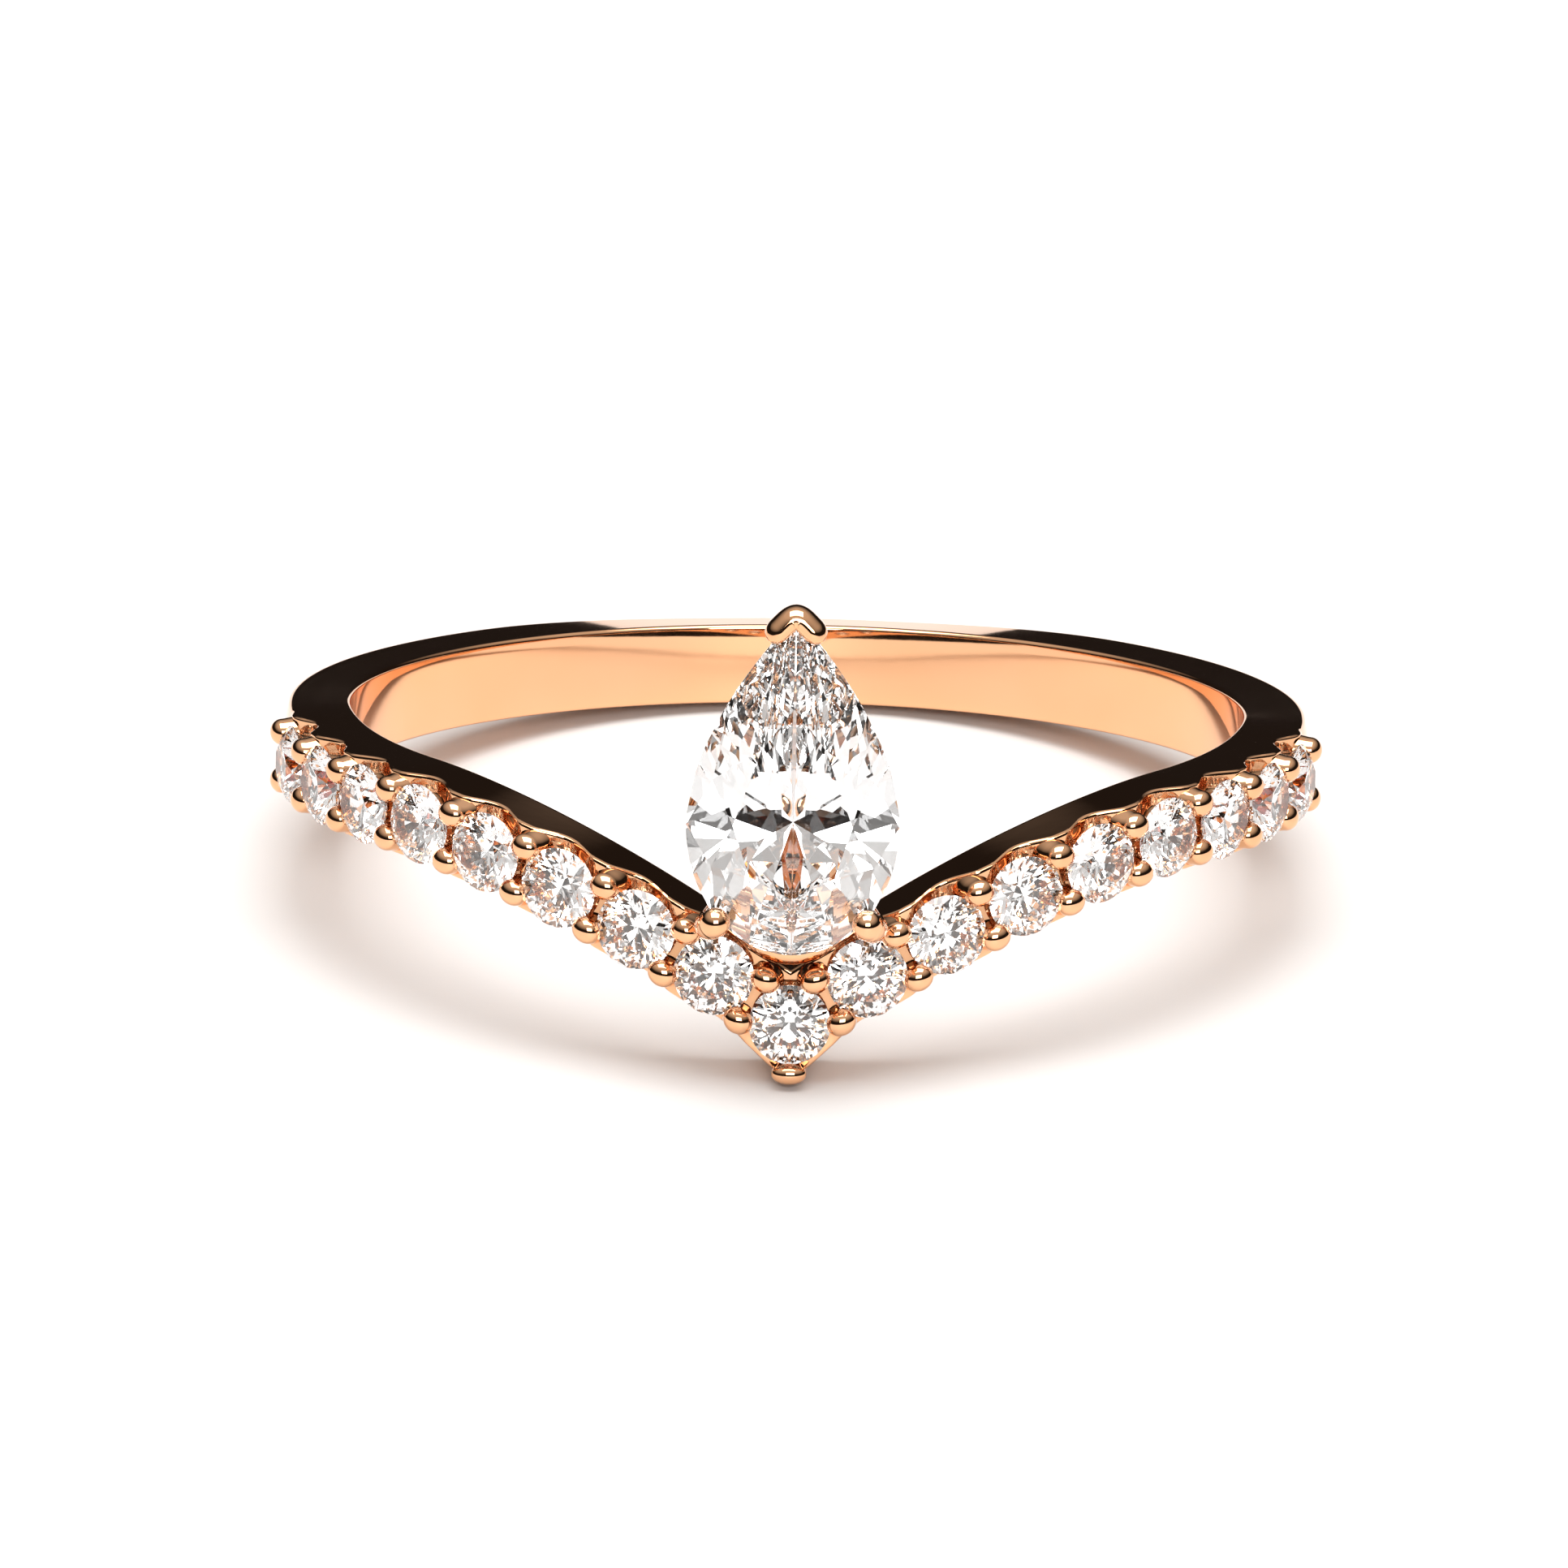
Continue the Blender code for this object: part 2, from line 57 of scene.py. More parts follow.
# The shank, as the CAD part draws it.
BORE_RADIUS = 8.675
SHANK_RADIUS = 9.975
SHANK_WIDTH = 1.62
EDGE_SOFTENING = 0.08
BORE_DOME = 0.012
RIM_START = 0.93
RIM_SOFTENING = 0.05
SIDE_SHARES = (0.04, 0.50, 0.97)
BACK_FACE_FALL = math.radians(4.5)
BACK_FACE_ANGLES = (math.radians(140), math.radians(172))
BACK_DOME = 0.10
BACK_DOME_POWER = 2.6
SHOULDER_RISE = 0.45
CHEVRON_DROP = 3.10
CHEVRON_REACH = math.radians(52)
SHOULDER_END = math.radians(76)
SHOULDER_EASE = 0.10
POINT_DROP = 0.17
POINT_REACH = (0.2, 1.3)

# How finely the shank is drawn, in points or sections.
BORE_POINTS = 4
EDGE_POINTS = 6
OUTER_POINTS = 36
SECTIONS_PER_STONE = 36
BACK_SECTIONS = 150
WALK_STEPS = 4000
WALK_END = math.radians(100)

# The row of round brilliants.
STONES_PER_ARM = 8
PITCH = 1.705
MELEE_RADIUS = 0.765
MELEE_GIRDLE_RADIUS = 10.10
MELEE_GIRDLE = 0.03
MELEE_CROWN = 0.22
MELEE_PAVILION = 0.64
MELEE_TABLE = 0.57
MELEE_HALVES = 0.77
MELEE_SIDES = 64
MELEE_FIRST_TURN = 22.5
MELEE_TURN_STEP = 17.0
STAR_SHARE = 0.45
SEAT_GAP = 0.02
ROW_END = (STONES_PER_ARM + 0.5) * PITCH
ROW_SINK = 0.02
ROW_BLEND = (-0.1, 0.5)
ROW_RUN_OUT = 0.7
FAR_FROM_ROW = 100.0
SCALLOP_HALF_CHORD = 0.72
SCALLOP_DEPTH = 0.32
POINT_SCALLOP = 0.08
SCALLOP_POWER = 1.4
SCALLOP_SHARES = (0.35, 0.65)
LIGHT_HOLE_RADIUS = 0.35
HOLE_FLARE = 0.05
HOLE_FLARE_HEIGHTS = (0.01, 0.08)
CUTTER_PAST_BORE = 0.40
CUTTER_PAST_GIRDLE = 0.5
CUTTER_SIDES = 48

# Beads: a prong's, and the broad claw's at the point.
PRONG_OFFSET = 0.475
PRONG_ALONG = 0.295
PRONG_ACROSS = 0.255
PRONG_FOOT = 9.30
PRONG_FLARE = 0.08
PRONG_DOME = 0.23
PRONG_TOP = 10.37
PRONG_SIDES = 28
POINT_CLAW_WIDTH = 0.66
POINT_CLAW_HEIGHT = 0.40
POINT_CLAW_FOOT = 9.45
POINT_CLAW_DOME = 0.20
POINT_CLAW_SIDES = 36
DOME_STEPS = 9
NECK_LEVEL = 0.02

# How a bead's post narrows upwards: share of its height, and share of its flare left there.
POST_TAPER = (
    (0.0, 1.0),
    (0.45, 0.9),
    (0.70, 0.62),
    (0.86, 0.3),
    (0.95, 0.1),
)

# The pear stone and its head.
PEAR_HALF_WIDTH = 1.99
PEAR_TIP = 3.94
PEAR_HEEL = 2.43
PEAR_FLARE = 1.8
PEAR_RISE = 1.25
PEAR_HALVES = 0.75
PEAR_TABLE_SHIFT = 0.15
PEAR_SIDES = 160
PEAR_GIRDLE = 0.06
PEAR_CROWN = 0.55
PEAR_PAVILION = 1.72
PEAR_TABLE = 0.56
PEAR_SEAT = Vector((0.0, -10.90, 1.372))
PEAR_LEAN = math.radians(5)
GALLERY_HALF_WIDTH = 1.45
GALLERY_TIP = 2.90
GALLERY_DEPTH = 1.15
GALLERY_WIRE = 0.25
HEEL_ROUNDS = 20
RAIL_POINTS = 160
WIRE_SIDES = 24
STEEP_TO_STONE = 0.8
SEAT_RAIL_DEPTH = 0.40
SEAT_RAIL_WIRE = 0.11
SEAT_RAIL_GAP = 0.02
CLAW_ANGLE = math.radians(46.5)
CLAW_RADIUS = 0.275
CLAW_STEPS = 24
CLAW_CAP_STEPS = 8
CLAW_CAP_STEP = math.radians(90 / 8.3)
V_CLAW_POST = 0.14
V_CLAW_JOINT = 0.7
POST_TOP = (0.06, 0.24)
V_CLAW_STEPS = 32
V_CLAW_REACH = 0.74
V_CLAW_ROUND = 0.15
V_CLAW_MIDDLE = 0.02
V_CLAW_TIP_BLEND = 0.16
V_CLAW_TIP_DROP = 0.02
V_CLAW_TAPER_START = 0.62
V_CLAW_TAPER_RUN = 0.39
V_CLAW_END = 0.12
V_CLAW_END_HEIGHT = 0.55

# A round claw's path: distance outside the girdle, depth below it, and share of its radius.
CLAW_PATH = (
    (0.10, 0.88, 0.80),
    (0.18, 0.40, 0.92),
    (0.22, 0.05, 0.98),
    (0.17, -0.15, 1.02),
    (0.06, -0.30, 1.04),
)

# The V claw's section: distance outside the girdle and depth below it.
V_CLAW_SECTION = (
    (0.01, 0.50),
    (0.16, 0.47),
    (0.22, 0.30),
    (0.24, 0.00),
    (0.23, -0.18),
    (0.16, -0.33),
    (0.04, -0.41),
    (-0.10, -0.41),
    (-0.20, -0.33),
    (-0.21, -0.24),
    (-0.12, -0.17),
    (0.01, -0.05),
)

# Stone cutting, in millimetres.
ROUGH_MARGIN = 0.1
TANGENT_STEP = 0.01
CUT_TOLERANCE = 1e-6
WELD_DISTANCE = 1e-4

# The floor, in metres. It ends behind the ring, so its upper face reflects the dark room.
FLOOR_REACH = 1.5
FLOOR_BACK_EDGE = 0.064

# The room lightens between these heights of a direction: 0 at the horizon, 1 overhead.
DARK_BELOW = 0.30
LIGHT_ABOVE = 0.75

# Light paths: how often light bounces, and the brightest that bounced light may be.
LIGHT_BOUNCES = 24
BRIGHTEST_BOUNCE = 12.0


def ring_frame():
    """Where the ring's own frame lies: the back face's mount gives the lean and one point."""
    mount = next(m for m in frame["record"]["mounts"] if m["name"] == "shank_back_face")
    up = -Vector(mount["axis"]).normalized()
    right = Vector((1.0, 0.0, 0.0))
    away = up.cross(right).normalized()
    middle = (BORE_RADIUS + EDGE_SOFTENING + SHANK_RADIUS - BACK_DOME) / 2
    origin = Vector(mount["pos_m"]) - MM * (middle * away - SHANK_WIDTH / 2 * up)
    turn = Matrix((right, away, up)).transposed().to_4x4()
    return Matrix.Translation(origin) @ turn @ Matrix.Scale(MM, 4)


RING = ring_frame()


# Materials -------------------------------------------------------------------------------------


def new_material(name):
    material = bpy.data.materials.new(name)
    material.use_nodes = True
    return material, material.node_tree, material.node_tree.nodes["Principled BSDF"]


def rose_gold():
    """Polished rose gold with faint polishing lines, slight waviness, uneven gloss and a colour
    that varies at random; painted shade darkens it towards brown in its nooks.
    """
    material, tree, shader = new_material("polished_rose_gold")
    shader.inputs["Metallic"].default_value = 1.0
    place = tree.nodes.new("ShaderNodeTexCoord")
    tone = tree.nodes.new("ShaderNodeTexNoise")
    tone.inputs["Scale"].default_value = 260.0
    tone.inputs["Detail"].default_value = 3.0
    colours = tree.nodes.new("ShaderNodeValToRGB")
    colours.color_ramp.elements[0].position = 0.30
    colours.color_ramp.elements[0].color = (0.87, 0.47, 0.25, 1.0)
    colours.color_ramp.elements[1].position = 0.70
    colours.color_ramp.elements[1].color = (0.91, 0.51, 0.29, 1.0)
    tree.links.new(place.outputs["Object"], tone.inputs["Vector"])
    tree.links.new(tone.outputs["Fac"], colours.inputs["Fac"])
    # Painted shade: where ambient occlusion finds metal close by, in nooks and creases, the base
    # colour is mixed towards the dark brown of the Mix node below.
    nooks = tree.nodes.new("ShaderNodeAmbientOcclusion")
    nooks.samples = 6
    nooks.inputs["Distance"].default_value = 0.0006
    depth = tree.nodes.new("ShaderNodeMapRange")
    depth.inputs["From Min"].default_value = 0.15
    depth.inputs["From Max"].default_value = 0.60
    depth.inputs["To Min"].default_value = 0.30
    depth.inputs["To Max"].default_value = 1.0
    shade = tree.nodes.new("ShaderNodeMix")
    shade.data_type = "RGBA"
    shade.inputs["A"].default_value = (0.30, 0.15, 0.08, 1.0)
    tree.links.new(nooks.outputs["AO"], depth.inputs["Value"])
    tree.links.new(depth.outputs["Result"], shade.inputs["Factor"])
    tree.links.new(colours.outputs["Color"], shade.inputs["B"])
    tree.links.new(shade.outputs["Result"], shader.inputs["Base Color"])

    gloss = tree.nodes.new("ShaderNodeTexNoise")
    gloss.inputs["Scale"].default_value = 900.0
    gloss.inputs["Detail"].default_value = 4.0
    rough = tree.nodes.new("ShaderNodeMapRange")
    rough.inputs["To Min"].default_value = 0.02
    rough.inputs["To Max"].default_value = 0.07
    tree.links.new(place.outputs["Object"], gloss.inputs["Vector"])
    tree.links.new(gloss.outputs["Fac"], rough.inputs["Value"])
    tree.links.new(rough.outputs["Result"], shader.inputs["Roughness"])

    lines = tree.nodes.new("ShaderNodeTexNoise")
    lines.inputs["Scale"].default_value = 2400.0
    lines.inputs["Detail"].default_value = 2.0
    bump = tree.nodes.new("ShaderNodeBump")
    bump.inputs["Strength"].default_value = 0.05
    bump.inputs["Distance"].default_value = 0.00001
    tree.links.new(place.outputs["Object"], lines.inputs["Vector"])
    tree.links.new(lines.outputs["Fac"], bump.inputs["Height"])
    tree.links.new(bump.outputs["Normal"], shader.inputs["Normal"])
    return material


def cut_stone():
    """Clear cut stone: full transmission and a high index."""
    material, _, shader = new_material("clear_cut_stone")
    shader.inputs["Base Color"].default_value = (0.985, 0.985, 0.99, 1.0)
    shader.inputs["Metallic"].default_value = 0.0
    shader.inputs["Roughness"].default_value = 0.0
    shader.inputs["IOR"].default_value = 2.15
    shader.inputs["Transmission Weight"].default_value = 1.0
    return material


def pale_floor():
    material, _, shader = new_material("pale_floor")
    shader.inputs["Base Color"].default_value = (0.86, 0.85, 0.84, 1.0)
    shader.inputs["Roughness"].default_value = 0.6
    return material


GOLD = rose_gold()
STONE = cut_stone()


# Meshes ----------------------------------------------------------------------------------------


def add_piece(name, bm, material, nodes, smooth_angle=None):
    """An object from a bmesh in ring millimetres, which stands for the CAD nodes it names."""
    if smooth_angle is not None:
        bmesh.ops.recalc_face_normals(bm, faces=bm.faces)
    mesh = bpy.data.meshes.new(name)
    bm.to_mesh(mesh)
    bm.free()
    mesh.transform(RING)
    if smooth_angle is not None:
        mesh.shade_smooth()
        mesh.set_sharp_from_angle(angle=math.radians(smooth_angle))
    mesh.materials.append(material)
    piece = bpy.data.objects.new(name, mesh)
    bpy.context.scene.collection.objects.link(piece)
    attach(piece, "root")
    for node in nodes:
        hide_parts(node)
    return piece


def add_loft(bm, sections, closed):
    rings = [[bm.verts.new(point) for point in section] for section in sections]
    count = len(rings[0])
    pairs = list(zip(rings, rings[1:]))
    if closed:
        pairs.append((rings[-1], rings[0]))
    for first, second in pairs:
        for i in range(count):
            j = (i + 1) % count
            bm.faces.new((first[i], first[j], second[j], second[i]))
    if not closed:
        bm.faces.new(rings[0])
        bm.faces.new(list(reversed(rings[-1])))


def add_lathe(bm, profile, place, sides, squash=1.0):
    """Turn (radius, height) pairs about a frame's +Z; a zero radius makes a pole."""
    rings = []
    for radius, height in profile:
        if radius == 0.0:
            rings.append([bm.verts.new(place @ Vector((0.0, 0.0, height)))])
            continue
        ring = []
        for i in range(sides):
            turn = 2 * math.pi * i / sides
            point = Vector((radius * math.cos(turn), squash * radius * math.sin(turn), height))
            ring.append(bm.verts.new(place @ point))
        rings.append(ring)
    for first, second in zip(rings, rings[1:]):
        for i in range(sides):
            j = (i + 1) % sides
            corners = [first[i % len(first)], first[j % len(first)]]
            corners += [second[j % len(second)], second[i % len(second)]]
            bm.faces.new(list(dict.fromkeys(corners)))
    for ring in (rings[0], rings[-1]):
        if len(ring) > 1:
            bm.faces.new(ring)


# The band's centreline --------------------------------------------------------------------------


def ease_down(share):
    """From 1 to 0: the slope sets in quickly, then fades evenly."""
    soft = SHOULDER_EASE
    whole = 1 / 2 - soft / 2 + soft**2 / 6
    if share < soft:
        fallen = (share**2 / 2 - share**3 / 3) / soft
    else:
        fallen = share - share**2 / 2 - soft / 2 + soft**2 / 6
    return 1 - fallen / whole


def centre_height(angle):
    turn = abs(angle)
    if turn < CHEVRON_REACH:
        return SHOULDER_RISE - CHEVRON_DROP * (1 - turn / CHEVRON_REACH) ** 2
    if turn < SHOULDER_END:
        return SHOULDER_RISE
    return SHOULDER_RISE * ease_down((turn - SHOULDER_END) / (math.pi - SHOULDER_END))


def centre_slope(angle):
    step = 1e-4
    start = max(abs(angle), step)
    rise = (centre_height(start + step) - centre_height(start - step)) / (2 * step)
    return rise / MELEE_GIRDLE_RADIUS


def walk_table():
    """Angle against distance walked along the row, on a fine even grid of angles."""
    angles = np.linspace(0.0, WALK_END, WALK_STEPS + 1)
    pace = [MELEE_GIRDLE_RADIUS * math.hypot(1, centre_slope(a + 1e-6)) for a in angles]
    steps = (np.array(pace[1:]) + np.array(pace[:-1])) / 2 * np.diff(angles)
    return angles, np.concatenate(([0.0], np.cumsum(steps)))


WALK_ANGLES, WALK_DISTANCES = walk_table()


def angle_at(distance):
    angle = float(np.interp(abs(distance), WALK_DISTANCES, WALK_ANGLES))
    return math.copysign(angle, distance)


def around(angle, radius, height):
    return Vector((radius * math.sin(angle), -radius * math.cos(angle), height))


def row_frame(distance, across=0.0):
    """+X along the row, +Y across it towards the pear, +Z away from the finger."""
    angle = angle_at(distance)
    outward = Vector((math.sin(angle), -math.cos(angle), 0.0))
    slope = centre_slope(angle) * (0 if distance == 0 else math.copysign(1, distance))
    along = Vector((math.cos(angle), math.sin(angle), slope)).normalized()
    side = outward.cross(along)
    place = around(angle, MELEE_GIRDLE_RADIUS, centre_height(angle))
    place += side * across
    turn = Matrix((along, side, outward)).transposed().to_4x4()
    return Matrix.Translation(place) @ turn


# Shank -----------------------------------------------------------------------------------------


def scallop_dip(beside, depth):
    """Depth of the scallop beside a stone, at a distance along the row from its middle."""
    if beside >= SCALLOP_HALF_CHORD:
        return 0.0
    return depth * math.cos(math.pi / 2 * beside / SCALLOP_HALF_CHORD) ** SCALLOP_POWER


def smooth_step(low, high, value):
    """From 0 to 1 between two values, level at both."""
    share = min(1.0, max(0.0, (value - low) / (high - low)))
    return share * share * (3 - 2 * share)


def outer_radius(angle, across, distance):
    """Radius of the band's outer face: a soft dome at the back, scallops in the stone row."""
    edge = abs(across) / (SHANK_WIDTH / 2)
    dome = SHANK_RADIUS - BACK_DOME * edge**BACK_DOME_POWER
    nearest = min(STONES_PER_ARM, max(-STONES_PER_ARM, round(distance / PITCH)))
    beside = abs(distance - nearest * PITCH)
    depth = POINT_SCALLOP if nearest == 0 else SCALLOP_DEPTH
    flat = SHANK_RADIUS - ROW_SINK
    flat -= scallop_dip(beside, depth) * smooth_step(*SCALLOP_SHARES, edge)
    blend = smooth_step(ROW_END + ROW_BLEND[0], ROW_END + ROW_BLEND[1], abs(distance))
    return flat * (1 - blend) + dome * blend


def shank_section(angle, distance):
    """One section of the band: bore face, rounded edges, side faces and outer face."""
    middle = centre_height(angle)
    half = SHANK_WIDTH / 2 * math.hypot(1, centre_slope(angle))
    soft = EDGE_SOFTENING
    bore = BORE_RADIUS + BORE_DOME
    lower = []
    for i in range(BORE_POINTS):
        height = (half - soft) * i / BORE_POINTS
        lower.append((bore - BORE_DOME * (1 - (height / half) ** 2), -height))
    for i in range(EDGE_POINTS + 1):
        lean = math.radians(90 * i / EDGE_POINTS)
        lower.append((bore + soft * (1 - math.cos(lean)), -half + soft * (1 - math.sin(lean))))
    upper = [(radius, -height) for radius, height in reversed(lower)]
    inner_foot = lower[-1][0]
    below = half + POINT_DROP * (1 - smooth_step(*POINT_REACH, abs(distance)))
    fall = BACK_FACE_FALL * smooth_step(*BACK_FACE_ANGLES, abs(angle))
    above = half - math.tan(fall) * (SHANK_RADIUS - BORE_RADIUS)
    outer = []
    for i in range(OUTER_POINTS + 1):
        even = 2 * i / OUTER_POINTS - 1
        share = (math.sin(math.pi / 2 * even) + even) / 2
        radius = outer_radius(angle, share * SHANK_WIDTH / 2, distance)
        rim = max(0.0, (abs(share) - RIM_START) / (1 - RIM_START))
        radius -= RIM_SOFTENING * (1 - math.sqrt(max(0.0, 1 - rim**2)))
        outer.append((radius, share * (above if share > 0 else below)))
    step = outer[0][0] - inner_foot
    low_side = []
    high_side = []
    for share in SIDE_SHARES:
        radius = inner_foot + step * share
        low_side.append((radius, -half - (below - half) * share))
        high_side.insert(0, (radius, half - (half - above) * share))
    points = lower + low_side + outer + high_side + upper[:-1]
    return [around(angle, radius, middle + height) for radius, height in points]


def shank_sections():
    """Sections right round the finger: finely along the row, then on around the back."""
    fine = PITCH / SECTIONS_PER_STONE
    last = int((ROW_END + ROW_RUN_OUT) / fine)
    sections = []
    for i in range(-last, last + 1):
        distance = i * fine
        sections.append(shank_section(angle_at(distance), distance))
    end = angle_at(last * fine)
    back = 2 * (math.pi - end)
    for i in range(1, BACK_SECTIONS):
        angle = end + back * i / BACK_SECTIONS
        if angle > math.pi:
            angle -= 2 * math.pi
        sections.append(shank_section(angle, FAR_FROM_ROW))
    return sections


def seat_cutters():
    """A conical seat for each small stone, with a light hole that flares into the bore."""
    radius = MELEE_RADIUS + SEAT_GAP
    spread = radius / (MELEE_PAVILION + SEAT_GAP)
    hole_meets_cone = LIGHT_HOLE_RADIUS / spread - MELEE_PAVILION - SEAT_GAP
    bore = BORE_RADIUS - MELEE_GIRDLE_RADIUS
    profile = [
        (LIGHT_HOLE_RADIUS + HOLE_FLARE, bore - CUTTER_PAST_BORE),
        (LIGHT_HOLE_RADIUS + HOLE_FLARE, bore + HOLE_FLARE_HEIGHTS[0]),
        (LIGHT_HOLE_RADIUS, bore + HOLE_FLARE_HEIGHTS[1]),
        (LIGHT_HOLE_RADIUS, hole_meets_cone),
        (radius, 0.0),
        (radius, CUTTER_PAST_GIRDLE),
    ]
    bm = bmesh.new()
    for i in range(-STONES_PER_ARM, STONES_PER_ARM + 1):
        add_lathe(bm, profile, row_frame(i * PITCH), CUTTER_SIDES)
    bmesh.ops.recalc_face_normals(bm, faces=bm.faces)
    return bm


def bead_profile(radius, foot, flare, height):
    """A post that narrows upwards from a flared foot into a domed bead, as (radius, height)."""
    base = MELEE_GIRDLE_RADIUS
    profile = []
    for share, wider in POST_TAPER:
        level = foot + (base + NECK_LEVEL - foot) * share
        profile.append((radius + flare * wider, level - base))
    for i in range(DOME_STEPS):
        lean = math.radians(90 * i / DOME_STEPS)
        level = PRONG_TOP - base - height + height * math.sin(lean)
        profile.append((radius * math.cos(lean), level))
    profile.append((0.0, PRONG_TOP - base))
    return profile


def add_beads(bm):
    """The shared prongs' beads on both sides of the row, and the broad claw at the point."""
    profile = bead_profile(PRONG_ALONG, PRONG_FOOT, PRONG_FLARE, PRONG_DOME)
    for i in range(-STONES_PER_ARM - 1, STONES_PER_ARM + 1):
        for side in (-1, 1):
            place = row_frame((i + 0.5) * PITCH, across=side * PRONG_OFFSET)
            add_lathe(bm, profile, place, PRONG_SIDES, PRONG_ACROSS / PRONG_ALONG)
    place = row_frame(0.0, across=-(MELEE_RADIUS - SEAT_GAP + POINT_CLAW_HEIGHT / 2))
    profile = bead_profile(POINT_CLAW_WIDTH / 2, POINT_CLAW_FOOT, 0.0, POINT_CLAW_DOME)
    add_lathe(bm, profile, place, POINT_CLAW_SIDES, POINT_CLAW_HEIGHT / POINT_CLAW_WIDTH)


def helper_object(name, bm):
    """An object for the Boolean alone, which is removed after it."""
    mesh = bpy.data.meshes.new(name)
    bm.to_mesh(mesh)
    bm.free()
    helper = bpy.data.objects.new(name, mesh)
    bpy.context.scene.collection.objects.link(helper)
    return helper


def build_shank():
    """The band with its seats drilled, and the beads that stand on it."""
    bm = bmesh.new()
    add_loft(bm, shank_sections(), closed=True)
    bmesh.ops.recalc_face_normals(bm, faces=bm.faces)
    body = helper_object("shank_blank", bm)
    cutter = helper_object("seats", seat_cutters())
    cut = body.modifiers.new("seats", "BOOLEAN")
    cut.operation = "DIFFERENCE"
    cut.solver = "EXACT"
    cut.object = cutter
    graph = bpy.context.evaluated_depsgraph_get()
    bm = bmesh.new()
    bm.from_object(body, graph)
    for obj in (body, cutter):
        bpy.data.objects.remove(obj)
    add_beads(bm)
    return add_piece("shank_fine", bm, GOLD, ["shank"], smooth_angle=SHARP_ON_SHANK)


# Stones ----------------------------------------------------------------------------------------


def round_outline(turn):
    return Vector((MELEE_RADIUS * math.cos(turn), MELEE_RADIUS * math.sin(turn)))


def pear_outline(turn, half_width=PEAR_HALF_WIDTH, tip=PEAR_TIP, heel=PEAR_HEEL):
    """Pear outline about the centre of its round end; a quarter turn is its tip."""
    turn = turn % (2 * math.pi)
    if turn > math.pi:
        return Vector((half_width * math.cos(turn), heel * math.sin(turn)))
    side = math.copysign(1.0, math.cos(turn))
    rise = math.sin(turn) ** PEAR_RISE
    if abs(turn - math.pi / 2) < 1e-6:
        return Vector((0.0, tip))
    return Vector((side * half_width * (1 - rise**PEAR_FLARE), tip * rise))


def pear_frame():
    """Frame of the pear: +X right, +Y to its tip, +Z out of its table."""
    facing = Matrix.Rotation(math.pi / 2 - PEAR_LEAN, 4, "X")
    return Matrix.Translation(PEAR_SEAT) @ facing


def plane_through(first, second, third, inside):
    """A plane through three points, with its normal away from a point inside the stone."""
    normal = (second - first).cross(third - first).normalized()
    if normal.dot(inside - first) > 0:
        normal.negate()
    return first, normal


def meet_at_height(plane_a, plane_b, height):
    """The point of two planes' common line at a height."""
    (pa, na), (pb, nb) = plane_a, plane_b
    right_a = na.dot(pa) - na.z * height
    right_b = nb.dot(pb) - nb.z * height
    bottom = na.x * nb.y - na.y * nb.x
    x = (right_a * nb.y - right_b * na.y) / bottom
    y = (na.x * right_b - nb.x * right_a) / bottom
    return Vector((x, y, height))


def brilliant_planes(outline, table_scale, table_centre, sizes, half_share):
    """The facets of a brilliant cut over an outline, as planes that face outwards."""
    crown, girdle, pavilion = sizes
    top = girdle / 2 + crown
    bottom = -girdle / 2 - pavilion
    inside = Vector((0.0, 0.0, 0.0))
    eighth = math.pi / 4
    planes = [(Vector((0.0, 0.0, top)), Vector((0.0, 0.0, 1.0)))]
    rim = [outline(i * eighth) for i in range(8)]
    middle = [outline((i + 0.5) * eighth) for i in range(8)]
    culet = Vector((0.0, 0.0, bottom))
    crown_mains = []
    pavilion_mains = []
    for i, point in enumerate(rim):
        run = outline(i * eighth + TANGENT_STEP) - outline(i * eighth - TANGENT_STEP)
        run = Vector((run.x, run.y, 0.0)).normalized()
        above = Vector((point.x, point.y, girdle / 2))
        below = Vector((point.x, point.y, -girdle / 2))
        corner = table_centre + (point - table_centre) * table_scale
        corner = Vector((corner.x, corner.y, top))
        crown_mains.append(plane_through(above, above + run, corner, inside))
        pavilion_mains.append(plane_through(below, below + run, culet, inside))
    for i in range(8):
        after = (i + 1) % 8
        star = meet_at_height(crown_mains[i], crown_mains[after], top - STAR_SHARE * crown)
        ends = []
        for j in (i, after):
            corner = table_centre + (rim[j] - table_centre) * table_scale
            ends.append(Vector((corner.x, corner.y, top)))
        planes.append(plane_through(ends[0], ends[1], star, inside))
        low_height = -girdle / 2 - half_share * pavilion
        low = meet_at_height(pavilion_mains[i], pavilion_mains[after], low_height)
        for end in (rim[i], rim[after]):
            for apex, height in ((star, girdle / 2), (low, -girdle / 2)):
                first = Vector((end.x, end.y, height))
                second = Vector((middle[i].x, middle[i].y, height))
                planes.append(plane_through(apex, first, second, inside))
    return planes + crown_mains + pavilion_mains


